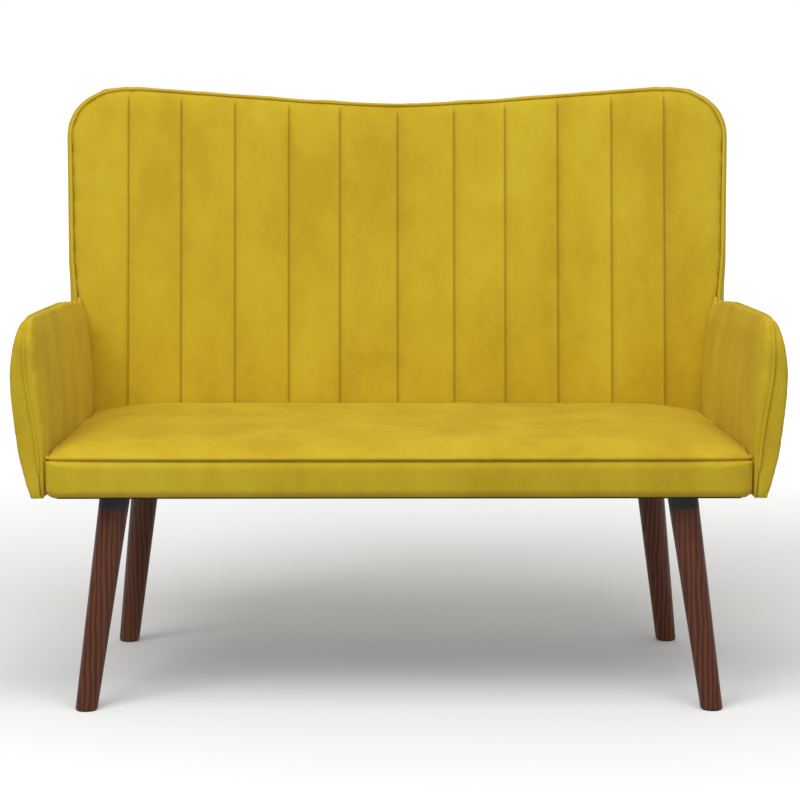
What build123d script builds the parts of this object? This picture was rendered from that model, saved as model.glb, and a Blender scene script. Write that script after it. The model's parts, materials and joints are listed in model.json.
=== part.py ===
from build123d import *
import os
from math import cos, radians, sin, sqrt, tan

# A two-seat settee with a tall channelled back, thin flared arms and four splayed wooden legs.
# The origin is on the floor under the middle of the settee. It faces -Y, and +X is the right of
# someone who stands in front of it. Left and right in the names are that person's.

# Overall sizes
overall_width = 1280.0  # over the arms at their widest
overall_depth = 708.0  # from the front feet to the top of the back
back_corner_height = 1019.0  # where the back's top and side lines would meet
seat_underside = 354.0  # height of the frame's lower face over the floor

# Back
back_lean = radians(9.8)
back_dip = 38.0  # the top edge is this much lower in the middle than at its corners
back_corner_radius = 86.0
back_dip_radius = 900.0
back_inset = 33.0  # the back's sides stand this far inside the arms' widest point
back_taper = 11.0  # its sides close in this much from the top down to the frame's underside
back_frame_thickness = 25.0
back_foam_thickness = 28.5
back_board_thickness = 3.0
post_width = 60.0
inner_post_spacing = 400.0
edge_foam_thickness = 12.0
back_strap_count = 6

# Seat
apron_height = 62.0
seat_crown = 25.0  # the seat's foam rises this far above the seam round its edge
crown_side_run = 110.0  # and takes this far to do so at the sides
crown_front_run = 90.0
crown_radius = 440.0  # where its sides meet its top
seat_taper = 26.0  # each side of the seat comes in this much towards the back
rail_height = 34.0
rail_width = 45.0
rail_end_radius = 14.0  # of the front rail's lower corners
seat_corner_radius = 12.0  # of the piping round the seat's front corners
strap_margin = 8.0  # between a strap's end and the rail's edge
apron_padding = 8.0
block_length = 125.0
block_depth = 70.0
strap_thickness = 2.0
strap_width = 60.0
long_strap_count = 4
cross_strap_count = 8
cross_strap_pitch = 120.0

# Arms
arm_reach = 55.0  # the arms' widest point stands this far outside the seat
arm_gap = 1.0  # between the seat's side and the arm
arm_top = 652.0
arm_crest_run = 365.0  # from the arm's front to where its top starts to fall
arm_top_fall = 0.13  # and it falls this much for each millimetre behind that
arm_crest_radius = 1200.0
arm_front_setback = 2.0  # behind the front of the apron
arm_top_radius = 50.0
arm_toe_radius = 26.0
arm_widest_height = 555.0
arm_front_flare = 17.0  # the inner side leans out this much over its height, at the front
arm_rear_flare = 12.0
arm_outer_taper = 42.0  # the outer side comes in this much towards the back
arm_front_tuck = (30.0, 23.5)  # how far the outer side comes in at its foot and at its top
arm_rear_tuck = (12.0, 5.0)
arm_inner_padding = 10.0
arm_board_thickness = 12.0
arm_board_inset = 14.0
arm_board_lift = 6.0  # its lower edge over the frame's underside
arm_welt_front = 11.0  # the piping's distance outside the arm's inner side at the top, in front
arm_welt_rear = 15.0  # at the top, by the back
arm_welt_foot = 4.0  # and at the foot, in front

# Legs
foot_radius = 18.2
leg_growth = 0.0203  # the leg's radius grows this much for each millimetre of its length
side_splay = 0.131  # sideways run of a leg for each millimetre of height
end_splay = 0.20  # and its run to the front or to the rear
front_foot_inset = 64.0  # the feet's centres are this far inside the seat's sides
rear_foot_inset = 60.5
rear_foot_setback = 10.0  # the rear feet are this far in front of the back's face
ferrule_height = 30.0
ferrule_wall = 2.5
plate_size = 76.0
plate_thickness = 3.0
plate_corner_radius = 8.0
glide_radius = 16.0
glide_stand = 3.0
glide_pin_radius = 2.5
glide_pin_length = 12.0

# Covers, piping and fasteners
cover = 2.0  # velvet with its backing
board_cover = 1.0  # dust cover under the frame
welt_radius = 3.0
welt_inset = 1.0  # the piping is centred this far inside the seam it covers
fit_gap = 0.5  # between upholstered pieces that are pressed together
bore_gap = 0.25  # round a bolt that passes through, on the radius
bolt_radius = 3.0
bolt_head_size = 5.8  # radius over the corners
bolt_head_height = 4.0
nut_barrel_radius = 4.0
nut_barrel_length = 9.0
nut_flange_radius = 9.5
nut_flange_thickness = 1.5
hanger_bolt_radius = 4.0
hanger_bolt_length = 92.0
hanger_bolt_above = 24.0  # it stands this far above the bracket's plate
screw_radius = 2.5
screw_length = 24.0
screw_head_radius = 4.5
screw_head_height = 2.0
screw_spacing = 56.0
back_bolt_spacing = 220.0
back_bolt_count = 4
arm_bolt_margin = 40.0  # between an end bolt and the corner block beside it

# Levels and depths that follow from these
far = 2000.0  # longer than anything it cuts
seam_height = seat_underside + apron_height
seat_top = seam_height + seat_crown
frame_bottom = seat_underside + board_cover
rail_top = frame_bottom + rail_height
rail_middle = frame_bottom + rail_height / 2
felt_bottom = rail_top + 2 * strap_thickness
foam_bottom = felt_bottom + strap_thickness
straps_depth = cover + back_foam_thickness
frame_depth = straps_depth + strap_thickness
board_depth = frame_depth + back_frame_thickness
rear_cover_depth = board_depth + back_board_thickness
back_thickness = rear_cover_depth + cover
pad_bottom = foam_bottom + cover
foot_reach = foot_radius * sqrt(1 + end_splay**2)
seat_front = -overall_depth / 2 + foot_reach
rear_face_at_seat = overall_depth / 2 - (back_corner_height - seat_top) * tan(back_lean)
back_front = rear_face_at_seat - back_thickness / cos(back_lean)
seat_depth = back_front - seat_front
seat_front_half = overall_width / 2 - arm_reach - arm_gap
rail_front = seat_front + cover + apron_padding
rail_back_of_front = rail_front + rail_width
rear_foot_y = back_front - rear_foot_setback
leg_length = seat_underside * sqrt(1 + side_splay**2 + end_splay**2)
ferrule_start = leg_length - ferrule_height

# The front face of the back. Its X is the settee's, its Y runs up the slope and its Z points
# forwards, so that a layer of the back is a slab behind this plane.
back_face = Plane(
    origin=(0, back_front, seat_top),
    x_dir=(1, 0, 0),
    z_dir=(0, -cos(back_lean), sin(back_lean)),
)


def behind(depth):
    """The plane at a depth behind the front face of the back."""
    return back_face.offset(-depth)


def up_slope(height):
    """Where a height over the floor falls on the back's own Y."""
    return (height - seat_top) / cos(back_lean)


def seat_half_width(y):
    """Half the seat's width at y: its sides close in towards the back."""
    return seat_front_half - seat_taper * (y - seat_front) / seat_depth


def plan_band(front, rear, inset):
    """Corners of a band across the seat, held in from its tapered sides."""
    wide = seat_half_width(front) - inset
    narrow = seat_half_width(rear) - inset
    return [(-wide, front), (wide, front), (narrow, rear), (-narrow, rear)]


def side_band(front, rear, inset, width):
    """Corners of a strip along the seat's right side."""
    wide = seat_half_width(front) - inset
    narrow = seat_half_width(rear) - inset
    return [(wide - width, front), (wide, front), (narrow, rear), (narrow - width, rear)]


def prism(corners, bottom, height, mode=Mode.ADD):
    """Combines a level slab over these corners with the part being built."""
    with BuildSketch(Plane.XY.offset(bottom)) as outline:
        Polygon(*corners, align=None)
    extrude(outline.sketch, amount=height, mode=mode)


def keep_front_of(depth):
    """Cuts the part being built along the back's slope and keeps what is in front."""
    split(bisect_by=behind(depth), keep=Keep.TOP)


def keep_behind(depth):
    """Cuts the part being built along the back's slope and keeps what is behind."""
    split(bisect_by=behind(depth), keep=Keep.BOTTOM)


def keep_above(height):
    split(bisect_by=Plane.XY.offset(height), keep=Keep.TOP)


def keep_below(height):
    split(bisect_by=Plane.XY.offset(height), keep=Keep.BOTTOM)


def finish(builder, name):
    """Labels a finished piece and writes it to its own file."""
    builder.part.label = name
    export_step(builder.part, f"parts/{name}.step")


def finish_pair(builder, name):
    """Writes a right-hand piece and its mirror image on the left."""
    finish(builder, f"right_{name}")
    with BuildPart() as twin:
        mirror(builder.part, about=Plane.YZ)
    finish(twin, f"left_{name}")


os.makedirs("parts", exist_ok=True)

# ---------------------------------------------------------------------------------------------
# Legs: a tapered round leg with a spigot, held in a steel ferrule that is welded to a plate
# ---------------------------------------------------------------------------------------------


def leg_axis(side, end):
    """Plane at a foot's centre on the floor with Z up the leg. side 1 is right, end 1 is rear."""
    y = rear_foot_y if end > 0 else seat_front
    inset = rear_foot_inset if end > 0 else front_foot_inset
    x = side * (seat_half_width(y) - inset)
    return Plane(origin=(x, y, 0), z_dir=(-side * side_splay, -end * end_splay, 1))


def leg_top(side, end):
    """Where a leg's axis meets the frame's underside."""
    foot = leg_axis(side, end).origin
    x = foot.X - side * side_splay * seat_underside
    return (x, foot.Y - end * end_splay * seat_underside)


def leg_taper(axis, start, end, inset):
    """A length of the leg's taper, with its radius made less by inset."""
    low = foot_radius + leg_growth * start - inset
    high = foot_radius + leg_growth * end - inset
    upright = (Align.CENTER, Align.CENTER, Align.MIN)
    with Locations(axis.offset(start)):
        Cone(low, high, end - start, align=upright)


def rod(plane, radius, length, mode=Mode.ADD):
    """A cylinder that stands on a plane's origin."""
    upright = (Align.CENTER, Align.CENTER, Align.MIN)
    with Locations(plane):
        Cylinder(radius, length, align=upright, mode=mode)


def hanger_bolt_plane(side, end):
    """Foot of the double-ended bolt that runs up a leg's axis into the frame."""
    start = leg_length + hanger_bolt_above - hanger_bolt_length
    return leg_axis(side, end).offset(start)


def screw_planes(side, end):
    """Underside of a bracket's plate at its four screws."""
    x, y = leg_top(side, end)
    half = screw_spacing / 2
    bottom = seat_underside - plate_thickness
    return [Plane((x + i * half, y + j * half, bottom)) for i in (-1, 1) for j in (-1, 1)]


leg_places = [
    ("front_left", -1, -1), ("front_right", 1, -1), ("rear_left", -1, 1), ("rear_right", 1, 1),
]

with BuildPart() as hanger_bolts:
    for _, side, end in leg_places:
        rod(hanger_bolt_plane(side, end), hanger_bolt_radius, hanger_bolt_length)
finish(hanger_bolts, "hanger_bolts")

with BuildPart() as bracket_screws:
    for _, side, end in leg_places:
        for seat in screw_planes(side, end):
            rod(seat.offset(-screw_head_height), screw_head_radius, screw_head_height)
            rod(seat, screw_radius, screw_length)
finish(bracket_screws, "bracket_screws")

for place, side, end in leg_places:
    axis = leg_axis(side, end)
    glide_plane = Plane(axis.origin)
    spigot_top = seat_underside - plate_thickness

    with BuildPart() as leg:
        leg_taper(axis, -foot_radius, ferrule_start, 0)
        leg_taper(axis, ferrule_start, leg_length + foot_radius, ferrule_wall)
        keep_above(glide_stand)
        keep_below(spigot_top)
        rod(hanger_bolt_plane(side, end), hanger_bolt_radius, hanger_bolt_length, Mode.SUBTRACT)
        rod(glide_plane.offset(glide_stand), glide_pin_radius, glide_pin_length, Mode.SUBTRACT)
    finish(leg, f"leg_{place}")

    with BuildPart() as bracket:
        leg_taper(axis, ferrule_start, leg_length + foot_radius, 0)
        keep_below(seat_underside)
        with BuildSketch(Plane.XY.offset(seat_underside)):
            with Locations(leg_top(side, end)):
                RectangleRounded(plate_size, plate_size, plate_corner_radius)
        extrude(amount=-plate_thickness)
        add(leg.part, mode=Mode.SUBTRACT)
        bore = hanger_bolt_radius + bore_gap
        rod(hanger_bolt_plane(side, end), bore, hanger_bolt_length, Mode.SUBTRACT)
        for seat in screw_planes(side, end):
            rod(seat, screw_radius + bore_gap, plate_thickness, Mode.SUBTRACT)
    finish(bracket, f"leg_bracket_{place}")

    with BuildPart() as glide:
        rod(glide_plane, glide_radius, glide_stand)
        rod(glide_plane.offset(glide_stand), glide_pin_radius, glide_pin_length)
    finish(glide, f"leg_glide_{place}")

# ---------------------------------------------------------------------------------------------
# Bolts that hold the arms and the back to the seat frame, with their tee nuts
# ---------------------------------------------------------------------------------------------

front_block_rear = rail_back_of_front + block_depth
rear_block_front = leg_top(1, 1)[1] - plate_size / 2
arm_bolt_first = front_block_rear + arm_bolt_margin
arm_bolt_last = rear_block_front - arm_bolt_margin
arm_bolt_middle = (arm_bolt_first + arm_bolt_last) / 2
arm_batten_start = 2 * cover + arm_gap
arm_bolt_length = rail_width + arm_batten_start + arm_inner_padding + arm_board_thickness
back_bolt_length = rail_width + back_frame_thickness


def arm_bolt_plane(side, y):
    """Inner face of a side rail at a bolt, with Z through the rail and into the arm."""
    x = side * (seat_half_width(y) - cover - rail_width)
    return Plane(origin=(x, y, rail_middle), z_dir=(side * seat_depth, seat_taper, 0))


def back_bolt_planes():
    """Front face of the rear rail at each bolt, with Z through the rail and into the back."""
    planes = []
    for number in range(back_bolt_count):
        x = (number - (back_bolt_count - 1) / 2) * back_bolt_spacing
        face = behind(frame_depth - rail_width)
        start = face.from_local_coords((x, up_slope(rail_middle), 0))
        planes.append(Plane(origin=start, x_dir=(1, 0, 0), z_dir=-face.z_dir))
    return planes


arm_bolt_places = (arm_bolt_first, arm_bolt_middle, arm_bolt_last)
bolt_runs = [(arm_bolt_plane(s, y), arm_bolt_length) for s in (-1, 1) for y in arm_bolt_places]
bolt_runs += [(plane, back_bolt_length) for plane in back_bolt_planes()]


def drill_bolts(radius):
    """Drills the way of every frame bolt through the part being built."""
    for plane, length in bolt_runs:
        rod(plane, radius, length, Mode.SUBTRACT)


with BuildPart() as frame_bolts:
    for plane, length in bolt_runs:
        rod(plane, bolt_radius, length)
        with BuildSketch(plane.offset(-bolt_head_height)):
            RegularPolygon(bolt_head_size, 6)
        extrude(amount=bolt_head_height)
finish(frame_bolts, "frame_bolts")

with BuildPart() as tee_nut_blanks:
    for plane, length in bolt_runs:
        rod(plane.offset(length - nut_flange_thickness), nut_flange_radius, nut_flange_thickness)
        rod(plane.offset(length - nut_barrel_length), nut_barrel_radius, nut_barrel_length)

with BuildPart() as tee_nuts:
    add(tee_nut_blanks.part)
    drill_bolts(bolt_radius)
finish(tee_nuts, "tee_nuts")

# ---------------------------------------------------------------------------------------------
# Seat frame: five rails and four corner blocks, all of one height
# ---------------------------------------------------------------------------------------------

with BuildPart() as front_rail:
    prism(plan_band(rail_front, rail_back_of_front, cover), frame_bottom, rail_height)
    lower_edges = front_rail.edges().group_by(Axis.Z)[0].sort_by(Axis.X)
    fillet([lower_edges[0], lower_edges[-1]], radius=rail_end_radius)
    add(bracket_screws.part, mode=Mode.SUBTRACT)
finish(front_rail, "seat_front_rail")

with BuildPart() as rear_rail:
    prism(plan_band(0, back_front + rail_width, cover), frame_bottom, rail_height)
    keep_behind(frame_depth - rail_width)
    keep_front_of(frame_depth)
    drill_bolts(bolt_radius + bore_gap)
    add(bracket_screws.part, mode=Mode.SUBTRACT)
    add(hanger_bolts.part, mode=Mode.SUBTRACT)
finish(rear_rail, "seat_rear_rail")

with BuildPart() as side_rail:
    prism(side_band(rail_back_of_front, back_front, cover, rail_width), frame_bottom, rail_height)
    keep_front_of(frame_depth - rail_width)
    drill_bolts(bolt_radius + bore_gap)
finish_pair(side_rail, "side_rail")

with BuildPart() as centre_rail:
    half = rail_width / 2
    front_end = [(-half, rail_back_of_front), (half, rail_back_of_front)]
    prism([*front_end, (half, back_front), (-half, back_front)], frame_bottom, rail_height)
    keep_front_of(frame_depth - rail_width)
finish(centre_rail, "seat_centre_rail")


def corner_blocks(front, rear):
    """A pair of blocks in the frame's corners, bored for the legs' bolts and screws."""
    inset = cover + rail_width
    prism(side_band(front, rear, inset, block_length), frame_bottom, rail_height)
    mirror(about=Plane.YZ)
    keep_front_of(frame_depth - rail_width)
    add(bracket_screws.part, mode=Mode.SUBTRACT)
    add(hanger_bolts.part, mode=Mode.SUBTRACT)


with BuildPart() as front_blocks:
    corner_blocks(rail_back_of_front, front_block_rear)
finish(front_blocks, "front_corner_blocks")

with BuildPart() as rear_blocks:
    corner_blocks(rear_block_front, back_front)
finish(rear_blocks, "rear_corner_blocks")

# ---------------------------------------------------------------------------------------------
# Seat upholstery: elastic webbing, felt, foam, apron, cover, piping and the dust cover below
# ---------------------------------------------------------------------------------------------

strap_inset = cover + strap_margin
strap_run = seat_depth - cover - apron_padding
strap_pitch = strap_run / long_strap_count

with BuildPart() as seat_straps:
    for number in range(long_strap_count):
        start = rail_front + (number + 0.5) * strap_pitch - strap_width / 2
        prism(plan_band(start, start + strap_width, strap_inset), rail_top, strap_thickness)
    for number in range(cross_strap_count):
        middle = (number - (cross_strap_count - 1) / 2) * cross_strap_pitch
        low = middle - strap_width / 2
        high = middle + strap_width / 2
        start = rail_front + strap_inset
        corners = [(low, start), (high, start), (high, back_front), (low, back_front)]
        prism(corners, rail_top + strap_thickness, strap_thickness)
finish(seat_straps, "seat_webbing")

with BuildPart() as seat_felt:
    prism(plan_band(rail_front, back_front + rail_width, cover), felt_bottom, strap_thickness)
    keep_front_of(frame_depth - cover)
finish(seat_felt, "seat_felt")

with BuildPart() as seat_welt:
    side_line = plan_band(seat_front + welt_inset, back_front, welt_radius)
    with BuildLine(Plane.XY.offset(seam_height)) as seam:
        FilletPolyline(*side_line[3:], *side_line[:3], radius=seat_corner_radius)
    with BuildSketch(Plane(origin=seam.line @ 0, z_dir=seam.line % 0)):
        Circle(welt_radius)
    sweep(path=seam.line)
    keep_front_of(-fit_gap)
finish(seat_welt, "seat_welt")


def crowned_block(bottom, lift):
    """The seat's crowned block, whose top can be lifted by the cover's thickness."""
    edge = seam_height + lift
    top = seat_top + lift
    half = seat_front_half
    with BuildSketch(Plane.XZ) as front_view:
        Polygon(
            (-half, bottom), (half, bottom), (half, edge), (half - crown_side_run, top),
            (crown_side_run - half, top), (-half, edge), align=None,
        )
        fillet(front_view.vertices().group_by(Axis.Y)[-1], radius=crown_radius)
    with BuildSketch(Plane.YZ) as side_view:
        Polygon(
            (seat_front, bottom), (far, bottom), (far, top),
            (seat_front + crown_front_run, top), (seat_front, edge), align=None,
        )
    extrude(front_view.sketch, amount=far, both=True)
    extrude(side_view.sketch, amount=far, both=True, mode=Mode.INTERSECT)
    plan = plan_band(seat_front + cover, back_front + rail_width, cover)
    prism(plan, 0, far, mode=Mode.INTERSECT)
    keep_front_of(-fit_gap)


with BuildPart() as seat_foam:
    crowned_block(foam_bottom, 0)
    add(seat_welt.part, mode=Mode.SUBTRACT)
finish(seat_foam, "seat_foam")

with BuildPart() as seat_cover:
    crowned_block(seam_height, cover)
    add(seat_foam.part, mode=Mode.SUBTRACT)
    add(seat_welt.part, mode=Mode.SUBTRACT)
finish(seat_cover, "seat_top_cover")

with BuildPart() as apron_foam:
    prism(plan_band(seat_front + cover, rail_front, cover), frame_bottom, foam_bottom - frame_bottom)
finish(apron_foam, "seat_apron_foam")

with BuildPart() as seat_border:
    height = seam_height - seat_underside
    prism(plan_band(seat_front, back_front, 0), seat_underside, height)
    prism(plan_band(seat_front + cover, back_front, cover), seat_underside, height, Mode.SUBTRACT)
    keep_front_of(-fit_gap)
    add(seat_welt.part, mode=Mode.SUBTRACT)
    drill_bolts(bolt_radius + bore_gap)
finish(seat_border, "seat_apron_cover")

with BuildPart() as dust_cover:
    rear_edge = back_front + rail_width
    prism(plan_band(seat_front + cover, rear_edge, cover), seat_underside, board_cover)
    keep_front_of(frame_depth)
    add(bracket_screws.part, mode=Mode.SUBTRACT)
    add(hanger_bolts.part, mode=Mode.SUBTRACT)
finish(dust_cover, "dust_cover")

# ---------------------------------------------------------------------------------------------
# Back: posts and rails in one leaning plane, padded in front, boarded and covered behind
# ---------------------------------------------------------------------------------------------

back_half = overall_width / 2 - back_inset
back_low = up_slope(seat_underside) - post_width
back_high = up_slope(back_corner_height)


def back_outline(inset):
    """Face of the back, drawn flat: slanted sides, round corners and a shallow dip on top."""
    foot = back_half - back_taper
    with BuildSketch() as face:
        Polygon(
            (-foot, back_low), (foot, back_low), (back_half, back_high), (0, back_high - back_dip),
            (-back_half, back_high), align=None,
        )
        dip = face.vertices().sort_by_distance((0, back_high - back_dip))[0]
        fillet(dip, radius=back_dip_radius)
        fillet(face.vertices().group_by(Axis.Y)[-1], radius=back_corner_radius)
        if inset:
            offset(amount=-inset)
    return face.sketch


def back_slab(start, thickness, inset, bottom, mode=Mode.ADD):
    """Combines a slab of the back, cut level at its bottom, with the part being built."""
    with BuildSketch(behind(start)) as face:
        add(back_outline(inset))
    extrude(face.sketch, amount=-thickness, mode=mode)
    keep_above(bottom)


def frame_box(left, right, low, high):
    """Keeps only what lies in this rectangle of the back's face."""
    with BuildSketch(back_face) as window:
        Polygon((left, low), (right, low), (right, high), (left, high), align=None)
    extrude(window.sketch, amount=far, both=True, mode=Mode.INTERSECT)


frame_inset = cover + edge_foam_thickness
top_rail_low = back_high - back_dip - frame_inset - post_width
bottom_rail_high = up_slope(frame_bottom) + post_width
post_inner = back_half - back_taper - frame_inset - post_width
frame_slab = (frame_depth, back_frame_thickness, frame_inset, frame_bottom)

with BuildPart() as back_top_rail:
    back_slab(*frame_slab)
    frame_box(-far, far, top_rail_low, far)
finish(back_top_rail, "back_top_rail")

with BuildPart() as back_post:
    back_slab(*frame_slab)
    frame_box(post_inner, far, -far, top_rail_low)
finish_pair(back_post, "back_post")

with BuildPart() as back_bottom_rail:
    back_slab(*frame_slab)
    frame_box(-post_inner, post_inner, -far, bottom_rail_high)
    drill_bolts(bolt_radius + bore_gap)
    add(tee_nuts.part, mode=Mode.SUBTRACT)
finish(back_bottom_rail, "back_bottom_rail")

with BuildPart() as back_inner_post:
    back_slab(*frame_slab)
    centre = inner_post_spacing / 2
    frame_box(centre - post_width / 2, centre + post_width / 2, bottom_rail_high, top_rail_low)
finish_pair(back_inner_post, "back_inner_post")

with BuildPart() as back_straps:
    low = bottom_rail_high
    pitch = (top_rail_low - low) / back_strap_count
    for number in range(back_strap_count):
        middle = low + (number + 0.5) * pitch
        reach = post_inner + post_width / 2
        with BuildSketch(behind(straps_depth)):
            with Locations((0, middle)):
                Rectangle(2 * reach, strap_width)
        extrude(amount=-strap_thickness)
finish(back_straps, "back_webbing")


def back_welt(depth, end_height):
    """Piping along the back's outline at this depth, down to a height on both sides."""
    end = up_slope(end_height)
    slant = back_taper / (back_high - up_slope(seat_underside))
    corner = back_half - welt_inset
    side = corner - slant * (back_high - end)
    top = back_high - welt_inset
    corners = [(side, end), (corner, top), (0, top - back_dip), (-corner, top), (-side, end)]
    radii = (back_corner_radius - welt_inset, back_dip_radius, back_corner_radius - welt_inset)
    with BuildLine(behind(depth)) as seam:
        FilletPolyline(*corners, radius=radii)
    with BuildSketch(Plane(origin=seam.line @ 0, z_dir=seam.line % 0)) as section_face:
        Circle(welt_radius)
    sweep(section_face.sketch, path=seam.line)


arm_crest_y = seat_front + arm_crest_run


def arm_top_at(y):
    """Height of the arm's top, which falls towards the back."""
    return arm_top - arm_top_fall * max(0.0, y - arm_crest_y)


with BuildPart() as back_front_welt:
    back_welt(welt_inset, arm_top_at(back_front) + welt_radius)
finish(back_front_welt, "back_front_welt")

with BuildPart() as back_rear_welt:
    back_welt(back_thickness - welt_inset, frame_bottom)
finish(back_rear_welt, "back_rear_welt")


def clear_of_back_welts():
    """Lets the two rows of piping into the part being built."""
    add(back_front_welt.part, mode=Mode.SUBTRACT)
    add(back_rear_welt.part, mode=Mode.SUBTRACT)


with BuildPart() as back_foam:
    back_slab(cover, back_foam_thickness, cover, pad_bottom)
    clear_of_back_welts()
finish(back_foam, "back_foam")

with BuildPart() as back_cover:
    back_slab(0, cover, 0, pad_bottom)
    clear_of_back_welts()
finish(back_cover, "back_front_cover")

with BuildPart() as edge_foam:
    depth = back_frame_thickness + strap_thickness
    back_slab(straps_depth, depth, cover, frame_bottom)
    back_slab(straps_depth, depth, frame_inset, frame_bottom, Mode.SUBTRACT)
    add(back_front_welt.part, mode=Mode.SUBTRACT)
finish(edge_foam, "back_edge_foam")

with BuildPart() as back_board:
    back_slab(board_depth, back_board_thickness, cover, frame_bottom)
    clear_of_back_welts()
finish(back_board, "back_rear_board")

with BuildPart() as gusset:
    depth = rear_cover_depth - cover
    back_slab(cover, depth, 0, frame_bottom)
    back_slab(cover, depth, cover, frame_bottom, Mode.SUBTRACT)
    clear_of_back_welts()
finish(gusset, "back_side_cover")

with BuildPart() as rear_cover:
    back_slab(rear_cover_depth, cover, 0, frame_bottom)
    clear_of_back_welts()
finish(rear_cover, "back_rear_cover")

# ---------------------------------------------------------------------------------------------
# Arms: a bent board padded on both sides, flared outwards and towards the front
# ---------------------------------------------------------------------------------------------

arm_half_width = overall_width / 2
arm_rear_y = back_front + post_width
arm_low = seat_underside - rail_width
arm_high = arm_top + rail_width
arm_sections = [
    (seat_front, 0.0, arm_front_flare, arm_front_tuck),
    (arm_rear_y, arm_outer_taper, arm_rear_flare, arm_rear_tuck),
]


def front_view(y):
    """Upright plane across the settee at y, drawn in X and Z."""
    return Plane(origin=(0, y, 0), x_dir=(1, 0, 0), z_dir=(0, -1, 0))


def beyond_inner_side(shift, mode):
    """Combines everything outside the arm's inner side, moved out by shift, with the part."""
    outside = arm_half_width + rail_width
    faces = []
    for y, _, flare, _ in arm_sections:
        x = seat_half_width(y) + arm_gap + shift
        with BuildSketch(front_view(y)) as section_face:
            with BuildLine():
                upright = Line((x, arm_low), (x, seat_top))
                lean = TangentArc(upright @ 1, (x + flare, arm_top), tangent=(0, 1))
                Polyline(lean @ 1, (x + flare, arm_high), (outside, arm_high))
                Polyline((outside, arm_high), (outside, arm_low), upright @ 0)
            make_face()
        faces.append(section_face.sketch.face())
    loft(faces, ruled=True, mode=mode)


def within_outer_side(inset, mode):
    """Combines everything inside the arm's outer side, moved in by inset, with the part."""
    faces = []
    for y, taper, _, (foot_tuck, top_tuck) in arm_sections:
        x = arm_half_width - taper - inset
        with BuildSketch(front_view(y)) as section_face:
            with BuildLine():
                widest = (x, arm_widest_height)
                foot = TangentArc(widest, (x - foot_tuck, seat_underside), tangent=(0, -1))
                top = TangentArc(widest, (x - top_tuck, arm_top), tangent=(0, 1))
                Polyline(foot @ 1, (x - foot_tuck, arm_low), (0, arm_low), (0, arm_high))
                Polyline((0, arm_high), (x - top_tuck, arm_high), top @ 1)
            make_face()
        faces.append(section_face.sketch.face())
    loft(faces, ruled=True, mode=mode)


def arm_block(side_inset, edge_inset, foot_inset):
    """The arm's whole shape, with its two sides, its front and top edges and its foot moved in."""
    with BuildPart() as block:
        front = seat_front + arm_front_setback + edge_inset
        low = seat_underside + foot_inset
        high = arm_top - edge_inset
        rear_high = arm_top_at(arm_rear_y) - edge_inset
        with BuildSketch(Plane.YZ) as side_view:
            Polygon(
                (front, low), (arm_rear_y, low), (arm_rear_y, rear_high), (arm_crest_y, high),
                (front, high), align=None,
            )
            crest = side_view.vertices().sort_by_distance((arm_crest_y, high))[0]
            fillet(crest, radius=arm_crest_radius)
            front_corners = side_view.vertices().group_by(Axis.X)[0].sort_by(Axis.Y)
            fillet(front_corners[1], radius=arm_top_radius - edge_inset)
            fillet(front_corners[0], radius=arm_toe_radius - edge_inset)
        extrude(amount=far)
        beyond_inner_side(side_inset, Mode.INTERSECT)
        within_outer_side(side_inset, Mode.INTERSECT)
        keep_front_of(-fit_gap)
    return block.part


arm_core = arm_block(cover, cover, cover)
arm_shell = arm_block(0, 0, 0)
board_inner = cover + arm_inner_padding
board_outer = board_inner + arm_board_thickness


def arm_seam_plane():
    """Slanted plane of the seam between the arm's inner and outer covers."""
    front_y, _, front_flare, _ = arm_sections[0]
    rear_y, _, rear_flare, _ = arm_sections[1]
    inner = seat_half_width(front_y) + arm_gap
    inner_rear = seat_half_width(rear_y) + arm_gap
    corner = Vector(inner + front_flare + arm_welt_front, front_y, arm_top)
    rear = Vector(inner_rear + rear_flare + arm_welt_rear, rear_y, arm_top)
    foot = Vector(inner + arm_welt_foot, front_y, seat_underside)
    along = rear - corner
    return Plane(origin=corner, x_dir=along, z_dir=(foot - corner).cross(along))


def on_seam(y, z):
    """Point of the seam's plane over y and z, in the plane's own X and Y."""
    plane = arm_seam_plane()
    normal = plane.z_dir
    origin = plane.origin
    x = origin.X - (normal.Y * (y - origin.Y) + normal.Z * (z - origin.Z)) / normal.X
    flat = plane.to_local_coords(Vector(x, y, z))
    return (flat.X, flat.Y)


with BuildPart() as arm_welt:
    front = seat_front + arm_front_setback + welt_inset
    top = arm_top - welt_inset
    start = on_seam(front, seat_underside + arm_toe_radius)
    corner = on_seam(front, top)
    crest = on_seam(arm_crest_y, top)
    end = on_seam(arm_rear_y, arm_top_at(arm_rear_y) - welt_inset)
    with BuildLine(arm_seam_plane()) as seam:
        FilletPolyline(start, corner, crest, end, radius=(arm_top_radius - welt_inset, arm_crest_radius))
    with BuildSketch(Plane(origin=seam.line @ 0, z_dir=seam.line % 0)) as section_face:
        Circle(welt_radius)
    sweep(section_face.sketch, path=seam.line)
    keep_front_of(-fit_gap)
finish_pair(arm_welt, "arm_welt")

with BuildPart() as arm_board_blank:
    add(arm_block(cover, arm_board_inset, arm_board_lift))
    beyond_inner_side(board_inner, Mode.INTERSECT)
    beyond_inner_side(board_outer, Mode.SUBTRACT)

with BuildPart() as arm_board:
    add(arm_board_blank.part)
    drill_bolts(bolt_radius + bore_gap)
    add(tee_nuts.part, mode=Mode.SUBTRACT)
finish_pair(arm_board, "arm_board")

with BuildPart() as arm_batten:
    add(arm_block(cover, arm_board_inset, cover))
    beyond_inner_side(board_inner, Mode.SUBTRACT)
    keep_above(frame_bottom)
    keep_below(rail_top)
    drill_bolts(bolt_radius + bore_gap)
finish_pair(arm_batten, "arm_batten")

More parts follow.
